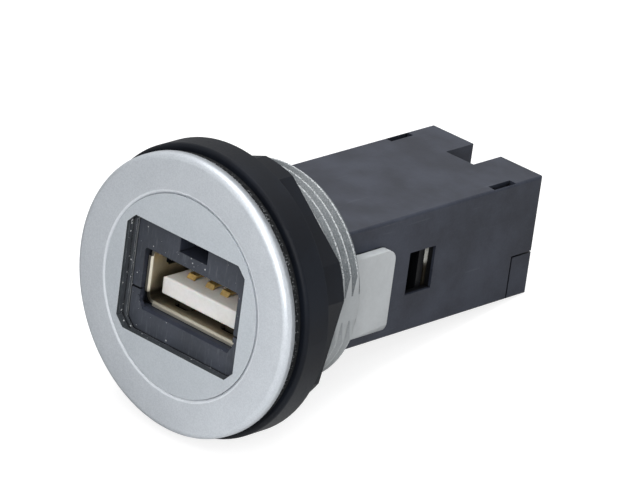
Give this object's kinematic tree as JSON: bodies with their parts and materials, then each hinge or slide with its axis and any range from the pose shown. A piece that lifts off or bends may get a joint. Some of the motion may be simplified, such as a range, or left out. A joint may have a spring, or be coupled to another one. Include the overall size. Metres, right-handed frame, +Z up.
{
  "type": "usb socket",
  "caption": "Panel-mount coupler with a round bezel, threaded neck, gasket and lock nut, and a rectangular body that joins a front plug port to a rear plug port.",
  "frame": {"origin": "on the neck's axis in the panel seat, the rear face of the gasket", "axes": "+Y along the neck's axis towards the rear port, +Z up, the front port faces -Y"},
  "size_m": [0.0288, 0.0425, 0.0288],
  "materials": {
    "silver_plastic": "silver satin",
    "slate_plastic": "matt",
    "black_rubber": "grainy",
    "black_plastic": "satin",
    "board_laminate": "satin",
    "nickel_steel": "nickel plated",
    "white_plastic": "satin",
    "gold_contact": "gold plated"
  },
  "bodies": {
    "coupler": {"front_housing": "silver_plastic", "face_plate": "silver_plastic", "front_frame": "slate_plastic", "panel_gasket": "black_rubber", "upper_housing": "slate_plastic", "lower_base": "slate_plastic", "circuit_board": "board_laminate", "front_shell": "nickel_steel", "front_insulator": "white_plastic", "front_contact_1": "gold_contact", "front_contact_2": "gold_contact", "front_contact_3": "gold_contact", "front_contact_4": "gold_contact", "rear_shell": "nickel_steel", "rear_insulator": "white_plastic", "rear_contact_1": "gold_contact", "rear_contact_2": "gold_contact", "rear_contact_3": "gold_contact", "rear_contact_4": "gold_contact"},
    "nut": {"lock_nut": "black_plastic"}
  },
  "joints": [
    {"name": "nut_turn", "type": "hinge", "parent": "coupler", "child": "nut", "pos_m": [0, 0.0035, 0], "axis": [0, 1, 0], "continuous": true}
  ]
}
